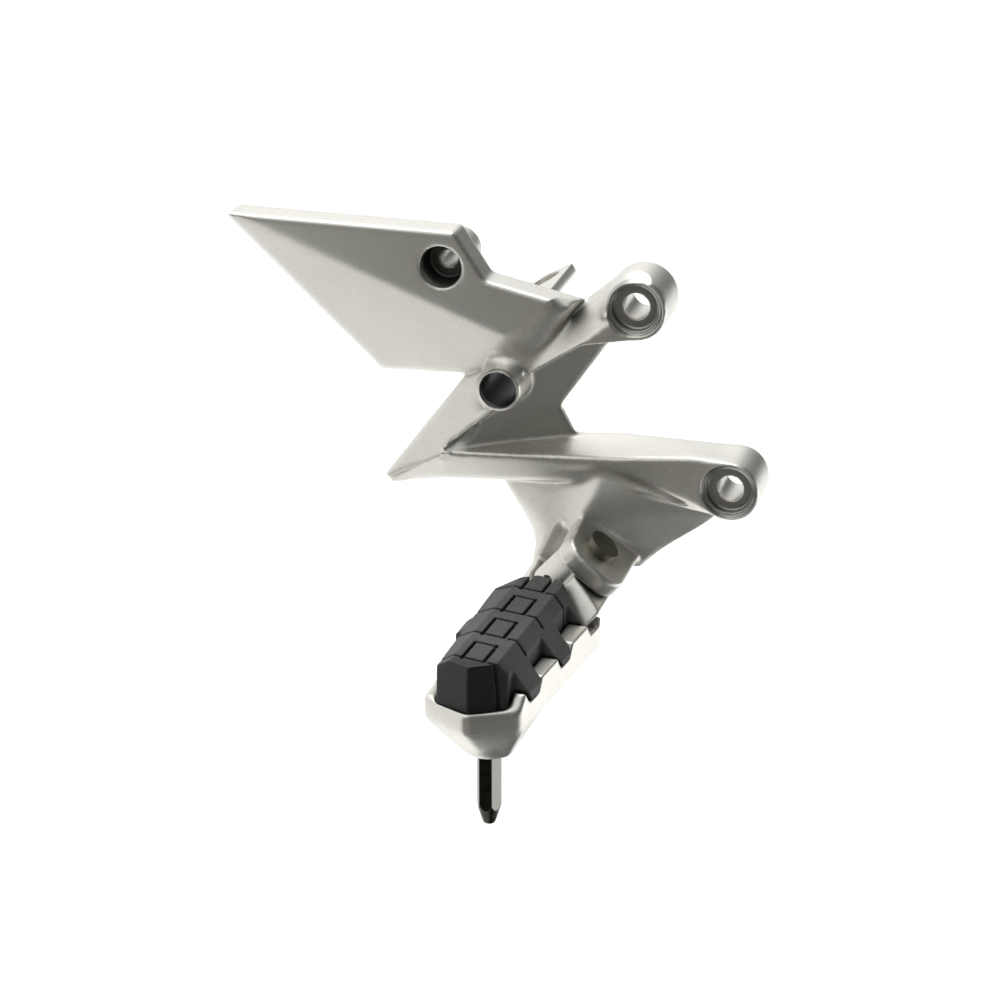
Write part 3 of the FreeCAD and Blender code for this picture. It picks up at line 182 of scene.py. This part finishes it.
class Nodes:
    """Short calls for building one node tree."""

    def __init__(self, tree):
        self.tree = tree

    def add(self, kind, settings=None, **inputs):
        node = self.tree.nodes.new(kind)
        for key, value in (settings or {}).items():
            setattr(node, key, value)
        for key, value in inputs.items():
            self.feed(node.inputs[key.replace("_", " ")], value)
        return node

    def feed(self, socket, value):
        if isinstance(value, bpy.types.NodeSocket):
            self.tree.links.new(value, socket)
        else:
            socket.default_value = value

    def math(self, operation, first, second=0.0):
        node = self.tree.nodes.new("ShaderNodeMath")
        node.operation = operation
        self.feed(node.inputs[0], first)
        self.feed(node.inputs[1], second)
        return node.outputs[0]

    def vector(self, operation, first, second):
        node = self.tree.nodes.new("ShaderNodeVectorMath")
        node.operation = operation
        self.feed(node.inputs[0], first)
        self.feed(node.inputs[1], second)
        return node

    def mix(self, factor, first, second):
        node = self.tree.nodes.new("ShaderNodeMix")
        node.data_type = "RGBA"
        self.feed(node.inputs[0], factor)
        self.feed(node.inputs[6], first)
        self.feed(node.inputs[7], second)
        return node.outputs[2]

    def remap(self, value, low, high, to_low, to_high):
        node = self.add(
            "ShaderNodeMapRange", None,
            Value=value, From_Min=low, From_Max=high, To_Min=to_low, To_Max=to_high,
        )
        return node.outputs[0]

    def noise(self, place, scale, detail=2.0, roughness=0.5):
        node = self.add(
            "ShaderNodeTexNoise", None, Vector=place, Scale=scale, Detail=detail, Roughness=roughness,
        )
        return node.outputs[0]

    def place(self):
        return self.add("ShaderNodeTexCoord").outputs["Object"]

    def split(self, vector):
        return self.add("ShaderNodeSeparateXYZ", None, Vector=vector).outputs

    def length(self, vector):
        return self.vector("LENGTH", vector, (0, 0, 0)).outputs["Value"]

    def geometry(self, output):
        return self.add("ShaderNodeNewGeometry").outputs[output]

    def bump(self, height, strength, distance):
        node = self.add("ShaderNodeBump", None, Height=height, Strength=strength, Distance=distance)
        return node.outputs[0]

    def open_to_light(self, distance, low):
        """1 on open surfaces, falling to a low value in corners and grooves."""
        node = self.add("ShaderNodeAmbientOcclusion", {"samples": 8}, Distance=distance)
        return self.remap(node.outputs["AO"], *OPEN_RANGE, low, 1.0)

    def sight(self):
        """Two switches: what the camera sees, and what metal and glass show of it."""
        path = self.add("ShaderNodeLightPath").outputs
        shown = self.math("MAXIMUM", path["Is Glossy Ray"], path["Is Transmission Ray"])
        return path["Is Camera Ray"], shown

    def within(self, place, axis_point, radius, soft):
        """1 inside a cylinder along Y and 0 outside it."""
        flat = self.vector("MULTIPLY", place, (1, 0, 1)).outputs[0]
        reach = self.vector("DISTANCE", flat, (axis_point.x, 0, axis_point.z)).outputs["Value"]
        return self.remap(reach, radius, radius + soft, 1.0, 0.0)

    def from_line(self, place, point, axis):
        """Distance from a line, or from a point where the axis is None."""
        offset = self.vector("SUBTRACT", place, point).outputs[0]
        if axis:
            offset = self.vector("CROSS_PRODUCT", offset, axis).outputs[0]
        return self.length(offset)


def new_material(name):
    material = bpy.data.materials.new(name)
    material.use_nodes = True
    tree = material.node_tree
    return material, Nodes(tree), tree.nodes["Principled BSDF"]


def silver_paint(nodes, place, flakes):
    """Silver with fine flakes, a faint cloud and painted highlights along the convex edges."""
    cloud = nodes.remap(nodes.noise(place, CLOUD_SCALE, 3.0), *MOTTLE, 0.0, 1.0)
    paint = nodes.mix(cloud, SILVER_DARK, SILVER_LIGHT)
    paint = nodes.mix(nodes.remap(flakes, 0.38, 0.68, 0.0, 0.6), paint, SILVER_FLAKE)
    # Painted highlight: convex edges are lightened towards a pale silver.
    edge_highlight = nodes.remap(nodes.geometry("Pointiness"), 0.52, 0.62, 0.0, 0.4)
    return nodes.mix(edge_highlight, paint, SILVER_HIGHLIGHT)


def silver_casting():
    """Satin silver paint with bare machined bolt seats, and painted shade in the recess around the guard
    hole, in the bolt tube's bore and in corners.
    """
    material, nodes, shader = new_material("silver_casting")
    place = nodes.place()
    along = nodes.split(place)["Y"]
    flakes = nodes.noise(place, FLAKE_SCALE, 2.0)
    paint = silver_paint(nodes, place, flakes)
    seats = [nodes.within(place, axis, SEAT_RADIUS, 0.3 * MM) for axis in FRAME_BOLTS]
    seat = nodes.math("MULTIPLY", nodes.math("MAXIMUM", *seats), nodes.remap(along, *SEAT_DEPTH, 0.0, 1.0))
    bores = [nodes.within(place, axis, BOLT_BORE, 0.2 * MM) for axis in FRAME_BOLTS]
    around = nodes.math("SUBTRACT", 1.0, nodes.math("MAXIMUM", *bores))
    paint = nodes.mix(nodes.math("MULTIPLY", seat, around), paint, SEAT_GREY)
    # Painted shade: the recess around the guard hole is darkened, but not the bolt hole itself.
    recess_shade = nodes.within(place, GUARD_HOLE, GUARD_RECESS, 0.2 * MM)
    recess_shade = nodes.math("MULTIPLY", recess_shade, nodes.remap(along, *GUARD_DEPTH, 0.0, 1.0))
    around = nodes.math("SUBTRACT", 1.0, nodes.within(place, GUARD_HOLE, GUARD_BOLT, 0.2 * MM))
    paint = nodes.mix(nodes.math("MULTIPLY", recess_shade, around), paint, RECESS_SHADE_GREY)
    # Painted shade: the bolt tube's bore is darkened to near black.
    tube_shade = nodes.within(place, TUBE_AXIS, TUBE_BORE, 0.2 * MM)
    tube_shade = nodes.math("MULTIPLY", tube_shade, nodes.remap(along, *TUBE_DEPTH, 0.0, 1.0))
    paint = nodes.mix(tube_shade, paint, TUBE_SHADE_BLACK)
    # Painted shade: the colour darkens in corners and crevices, except along the valley beside the upper
    # arm.
    valley = nodes.remap(nodes.from_line(place, ARM_VALLEY, ARM_ALONG), *VALLEY_FADE, 1.0, 0.0)
    corner = nodes.math("MAXIMUM", nodes.open_to_light(CORNER_REACH, CORNER_SHADE), valley)
    shade = nodes.add("ShaderNodeCombineColor", None, Red=corner, Green=corner, Blue=corner).outputs[0]
    nodes.feed(shader.inputs["Base Color"], nodes.vector("MULTIPLY", paint, shade).outputs[0])
    shader.inputs["Metallic"].default_value = 1.0
    rough = nodes.remap(flakes, *MOTTLE, 0.37, 0.46)
    rough = nodes.math("SUBTRACT", rough, nodes.math("MULTIPLY", seat, 0.08))
    nodes.feed(shader.inputs["Roughness"], rough)
    skin = nodes.noise(place, SKIN_SCALE, 3.0)
    relief = nodes.math("ADD", skin, nodes.math("MULTIPLY", flakes, 0.6))
    nodes.feed(shader.inputs["Normal"], nodes.bump(relief, 0.32, SKIN_DEPTH))
    return material


def tread_rubber():
    """Matte charcoal rubber with a fine moulded grain, painted shade in the grooves and a smooth dark end.
    """
    material, nodes, shader = new_material("tread_rubber")
    place = nodes.place()
    grain = nodes.noise(place, RUBBER_GRAIN_SCALE, 3.0, 0.6)
    cloud = nodes.remap(nodes.noise(place, RUBBER_CLOUD_SCALE, 3.0), 0.35, 0.65, 0.0, 1.0)
    colour = nodes.mix(cloud, RUBBER_DARK, RUBBER_LIGHT)
    ridge = nodes.remap(nodes.geometry("Pointiness"), 0.52, 0.64, 0.0, 0.6)
    colour = nodes.mix(ridge, colour, RUBBER_RIDGE)
    speck = nodes.remap(nodes.noise(place, RUBBER_SPECK_SCALE, 2.0), 0.45, 0.7, 0.0, 0.55)
    colour = nodes.mix(speck, colour, RUBBER_SPECK)
    # Painted shade: the grooves darken towards black.
    colour = nodes.mix(nodes.open_to_light(GROOVE_REACH, 0.0), RUBBER_GROOVE_SHADE, colour)
    end = nodes.remap(nodes.split(place)["Y"], *TREAD_END, 0.0, 1.0)
    nodes.feed(shader.inputs["Base Color"], nodes.mix(end, colour, RUBBER_END))
    rough = nodes.remap(grain, *MOTTLE, 0.52, 0.72)
    nodes.feed(shader.inputs["Roughness"], nodes.math("SUBTRACT", rough, nodes.math("MULTIPLY", end, 0.2)))
    nodes.feed(shader.inputs["Normal"], nodes.bump(grain, 0.35, RUBBER_GRAIN_DEPTH))
    return material


def steel(name, dark, light, rough_low, rough_high):
    """Steel with a mottled finish between two colours, its mottle and colour."""
    material, nodes, shader = new_material(name)
    place = nodes.place()
    mottle = nodes.noise(place, STEEL_MOTTLE_SCALE, 4.0, 0.6)
    colour = nodes.mix(nodes.remap(mottle, *MOTTLE, 0.0, 1.0), dark, light)
    nodes.feed(shader.inputs["Base Color"], colour)
    shader.inputs["Metallic"].default_value = 1.0
    nodes.feed(shader.inputs["Roughness"], nodes.remap(mottle, *MOTTLE, rough_low, rough_high))
    grain = nodes.noise(place, STEEL_GRAIN_SCALE, 2.0)
    nodes.feed(shader.inputs["Normal"], nodes.bump(grain, 0.15, STEEL_GRAIN_DEPTH))
    return material, mottle, colour


def steel_with_painted_reflection():
    """Black steel with a painted reflection lightening the flat that faces one way."""
    material, mottle, black = steel("black_steel", FEELER_DARK, FEELER_LIGHT, 0.14, 0.26)
    tree = material.node_tree
    nodes = Nodes(tree)
    # Painted reflection: faces turned towards the flat's direction are lightened.
    facing = nodes.vector("DOT_PRODUCT", nodes.geometry("Normal"), REFLECTION_FLAT).outputs["Value"]
    facing = nodes.math("ADD", facing, nodes.remap(mottle, *MOTTLE, -0.04, 0.04))
    colour = nodes.mix(nodes.remap(facing, *REFLECTION_FADE, 0.0, 1.0), black, FEELER_REFLECTION)
    nodes.feed(tree.nodes["Principled BSDF"].inputs["Base Color"], colour)
    return material


def dress(node, material):
    node.data.materials.clear()
    node.data.materials.append(material)


def kept_edges(nodes, place, keeps):
    """1 where edges are rounded, down to 0 at the round features that stay crisp."""
    weight = None
    for point, axis, inner, outer in keeps:
        near = nodes.remap(nodes.from_line(place, point, axis), inner, outer, 0.0, 1.0)
        weight = near if weight is None else nodes.math("MINIMUM", weight, near)
    return weight


def rounding(name, passes, keeps):
    """Geometry nodes that relax a dense mesh, so its edges and corners become round."""
    group = bpy.data.node_groups.new(name, "GeometryNodeTree")
    group.interface.new_socket("Geometry", in_out="INPUT", socket_type="NodeSocketGeometry")
    group.interface.new_socket("Geometry", in_out="OUTPUT", socket_type="NodeSocketGeometry")
    nodes = Nodes(group)
    source = nodes.add("NodeGroupInput")
    place = nodes.add("GeometryNodeInputPosition").outputs[0]
    blur = nodes.add("GeometryNodeBlurAttribute", {"data_type": "FLOAT_VECTOR"})
    value = [socket for socket in blur.inputs if socket.enabled and socket.type == "VECTOR"][0]
    nodes.feed(value, place)
    nodes.feed(blur.inputs["Iterations"], passes)
    nodes.feed(blur.inputs["Weight"], kept_edges(nodes, place, keeps))
    result = [socket for socket in blur.outputs if socket.enabled and socket.type == "VECTOR"][0]
    moved = nodes.add("GeometryNodeSetPosition", None, Geometry=source.outputs[0], Position=result)
    target = nodes.add("NodeGroupOutput")
    nodes.feed(target.inputs[0], moved.outputs[0])
    return group


def soften(node, mesh, roundings):
    """Rounds the edges of a cast or moulded node, and leaves the machined features crisp."""
    voxel, share = mesh
    node.modifiers.new("weld", "WELD").merge_threshold = WELD_REACH
    remesh = node.modifiers.new("fill", "REMESH")
    remesh.mode = "VOXEL"
    remesh.voxel_size = voxel
    remesh.use_smooth_shade = True
    smooth = node.modifiers.new("smooth", "SMOOTH")
    smooth.factor = 0.5
    smooth.iterations = FIRST_PASSES
    for number, (passes, keeps) in enumerate(roundings):
        group = rounding(f"{node.name}_rounding_{number + 1}", passes, keeps)
        node.modifiers.new("round", "NODES").node_group = group
    node.modifiers.new("thin", "DECIMATE").ratio = share
    node.modifiers.new("normals", "WEIGHTED_NORMAL").weight = NORMAL_WEIGHT


def ease(node):
    """Breaks the sharp edges of a turned or stamped node."""
    node.modifiers.new("weld", "WELD").merge_threshold = WELD_REACH
    bevel = node.modifiers.new("ease", "BEVEL")
    bevel.width = EASED_EDGE
    bevel.segments = 2
    bevel.limit_method = "ANGLE"
    bevel.angle_limit = EASED_ANGLE
    node.modifiers.new("normals", "WEIGHTED_NORMAL").keep_sharp = True


def soften_bracket(node):
    """Rounds the casting, fills the valley beside the arm and the slot behind the rib."""
    keeps = [(axis, SIDE_AXIS, 10.5 * MM, 13.5 * MM) for axis in FRAME_BOLTS]
    keeps += [
        (TUBE_AXIS, SIDE_AXIS, 8.0 * MM, 12.0 * MM),
        (GUARD_HOLE, SIDE_AXIS, 7.5 * MM, 11.0 * MM),
        (SWITCH_HOLE, None, 8.0 * MM, 12.0 * MM),
        (HINGE_POINT, HINGE_AXIS, 9.0 * MM, 15.0 * MM),
        (HEEL_TIP, None, -8.0 * MM, 16.0 * MM),
        (FOOT_CREASE, FOOT_CREASE_ALONG, 1.5 * MM, 3.5 * MM),
    ]
    valley_only = (ARM_VALLEY, ARM_ALONG, 9.0 * MM, 5.0 * MM)
    slot_only = (RIB_SLOT, RIB_SLOT_ALONG, 3.4 * MM, 1.8 * MM)
    slot_near = (RIB_SLOT, None, 9.0 * MM, 6.0 * MM)
    soften(node, BRACKET_MESH, [
        (BRACKET_PASSES, keeps),
        (VALLEY_PASSES, keeps + [valley_only]),
        (SLOT_PASSES, keeps + [slot_only, slot_near]),
    ])


def soften_nodes(nodes):
    """Rounds every node as its making does: cast, moulded, forged, turned or stamped."""
    hinge_keep = (HINGE_POINT, HINGE_AXIS, 8.0 * MM, 14.0 * MM)
    nose_only = (HINGE_POINT, None, 88.0 * MM, 102.0 * MM)
    low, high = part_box("bank_feeler")
    tip = Vector(((low[0] + high[0]) / 2, (low[1] + high[1]) / 2, low[2]))
    tip_only = (tip, None, 8.0 * MM, 3.0 * MM)
    soften_bracket(nodes["step_bracket"])
    soften(nodes["peg_body"], PEG_MESH, [(PEG_PASSES, [hinge_keep]), (NOSE_PASSES, [nose_only])])
    soften(nodes["tread_pad"], TREAD_MESH, [(TREAD_PASSES, [hinge_keep])])
    soften(nodes["bank_feeler"], FEELER_MESH, [(TIP_PASSES, [tip_only])])
    for node in nodes.values():
        if not node.modifiers:
            ease(node)


def dress_nodes(nodes):
    """Gives every CAD node its finish."""
    silver = silver_casting()
    finishes = {
        "step_bracket": silver,
        "peg_body": silver,
        "tread_pad": tread_rubber(),
        "bank_feeler": steel_with_painted_reflection(),
        "hinge_pin": steel("olive_plated_steel", OLIVE_DARK, OLIVE_LIGHT, 0.34, 0.5)[0],
    }
    plated = steel("plated_steel", PLATED_DARK, PLATED_LIGHT, 0.28, 0.42)[0]
    for name, node in nodes.items():
        dress(node, finishes.get(name, plated))


def add_camera():
    data = bpy.data.cameras.new("camera")
    data.lens = CAMERA_LENS
    data.sensor_width = CAMERA_SENSOR
    data.clip_start = CAMERA_NEAR
    camera = bpy.data.objects.new("camera", data)
    turn = Matrix((CAMERA_RIGHT, CAMERA_UP, CAMERA_BACK)).transposed().to_4x4()
    camera.matrix_world = Matrix.Translation(CAMERA_PLACE) @ turn
    bpy.context.scene.collection.objects.link(camera)
    bpy.context.scene.camera = camera


def floor_paper():
    """White paper, with a patch of painted shade that only the object's reflections show."""
    material, nodes, shader = new_material("floor")
    place = nodes.place()
    sheet = nodes.mix(nodes.noise(place, PAPER_SCALE, 3.0), SHEET_DARK, SHEET_LIGHT)
    offset = nodes.vector("SUBTRACT", place, SHADE_PATCH_PLACE).outputs[0]
    offset = nodes.vector("MULTIPLY", offset, (1 / SHADE_PATCH_RADII[0], 1 / SHADE_PATCH_RADII[1], 0)).outputs[0]
    seen, shown = nodes.sight()
    # Painted shade: a dark patch on the floor, hidden from the camera, standing in for the object's shadow
    # and a dark table.
    shade_patch = nodes.remap(nodes.length(offset), *SHADE_PATCH_FADE, 1.0, 0.0)
    shade_patch = nodes.math("MULTIPLY", shade_patch, nodes.math("SUBTRACT", 1.0, seen))
    nodes.feed(shader.inputs["Base Color"], nodes.mix(shade_patch, sheet, SHADE_PATCH_GREY))
    shader.inputs["Roughness"].default_value = FLOOR_ROUGHNESS
    shader.inputs["Specular IOR Level"].default_value = 0.0
    shader.inputs["Emission Color"].default_value = WHITE
    lift = nodes.remap(shade_patch, 0.0, 1.0, FLOOR_LIFT, 0.0)
    lift = nodes.math("MULTIPLY", nodes.math("MAXIMUM", seen, shown), lift)
    nodes.feed(shader.inputs["Emission Strength"], lift)
    return material


def add_floor():
    """White sheet under and behind the object, ending short of the camera."""
    left, right = -FLOOR_SPAN / 2, FLOOR_SPAN / 2
    corners = [
        (left, FLOOR_FRONT, FLOOR_HEIGHT),
        (right, FLOOR_FRONT, FLOOR_HEIGHT),
        (right, FLOOR_SPAN, FLOOR_HEIGHT),
        (left, FLOOR_SPAN, FLOOR_HEIGHT),
    ]
    mesh = bpy.data.meshes.new("floor")
    mesh.from_pydata(corners, [], [(0, 1, 2, 3)])
    floor = bpy.data.objects.new("floor", mesh)
    bpy.context.scene.collection.objects.link(floor)
    mesh.materials.append(floor_paper())


def add_tent():
    """Soft surroundings: bright overhead, behind and at the rear side, dim ahead and in front."""
    world = bpy.data.worlds.new("tent")
    bpy.context.scene.world = world
    world.use_nodes = True
    nodes = Nodes(world.node_tree)
    background = world.node_tree.nodes["Background"]
    direction = nodes.split(nodes.add("ShaderNodeTexCoord").outputs["Generated"])
    rear = nodes.remap(direction["X"], *REAR_FADE, 0.0, 1.0)
    height = nodes.math("ADD", direction["Z"], nodes.math("MULTIPLY", direction["Y"], HEIGHT_LEAN))
    lit = nodes.remap(height, *HEIGHT_FADE, 0.0, 1.0)
    behind = nodes.math("MULTIPLY", rear, lit)
    front = nodes.remap(direction["X"], *FRONT_FADE, *FRONT_GLOW)
    front = nodes.math("SUBTRACT", front, nodes.remap(direction["X"], *FRONT_DIM_FADE, 0.0, FRONT_DIM))
    glow = nodes.math("ADD", nodes.math("MULTIPLY", behind, SKY_GLOW), front)
    seen, shown = nodes.sight()
    white = nodes.math("MAXIMUM", seen, nodes.math("MULTIPLY", shown, behind))
    colour = nodes.mix(nodes.math("MAXIMUM", lit, seen), WARM_WHITE, WHITE)
    nodes.feed(background.inputs["Color"], colour)
    nodes.feed(background.inputs["Strength"], nodes.math("MAXIMUM", glow, white))


def add_lamp(name, place, target, size, power):
    data = bpy.data.lights.new(name, "AREA")
    data.size = size
    data.energy = power
    lamp = bpy.data.objects.new(name, data)
    lamp.location = place
    aim = Vector(target) - Vector(place)
    lamp.rotation_euler = aim.to_track_quat("-Z", "Y").to_euler()
    bpy.context.scene.collection.objects.link(lamp)


def main():
    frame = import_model()
    dress_nodes(frame["nodes"])
    soften_nodes(frame["nodes"])
    add_camera()
    add_floor()
    add_tent()
    for lamp in LAMPS:
        add_lamp(*lamp)
    bpy.context.scene.view_settings.view_transform = "Standard"


main()
